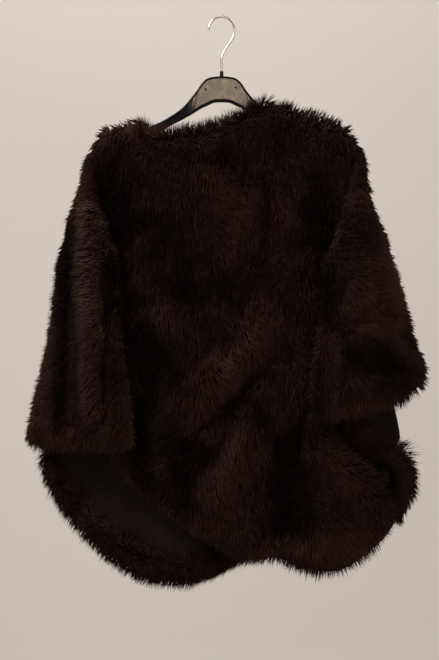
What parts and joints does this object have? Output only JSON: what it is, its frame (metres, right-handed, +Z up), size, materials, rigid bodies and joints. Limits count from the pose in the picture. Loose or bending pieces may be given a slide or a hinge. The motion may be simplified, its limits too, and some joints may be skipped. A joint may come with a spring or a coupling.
{
  "type": "fur poncho and hanger",
  "caption": "Short wide poncho of long dark brown fur with wide sleeves and a rounded hem, hung on a black plastic hanger with a wire hook.",
  "frame": {"origin": "inside top of the hanger's hook, where the whole thing hangs", "axes": "+Z up, -Y towards the garment's front, +X towards the right as seen from the front"},
  "size_m": [0.6608, 0.1232, 0.9439],
  "materials": {
    "fur": "long-haired dark brown fake fur",
    "lining": "smooth matt dark brown lining",
    "black_plastic": "worn gloss black",
    "chromed_wire": "polished"
  },
  "bodies": {
    "root": {"front_panel": "fur", "back_panel": "fur", "sleeve_left": "fur", "sleeve_right": "fur", "hem_facing_left": "fur", "hem_facing_right": "fur", "back_lining": "lining", "hanger_body": "black_plastic", "hanger_collar": "black_plastic", "hanger_hook": "chromed_wire"}
  },
  "joints": []
}
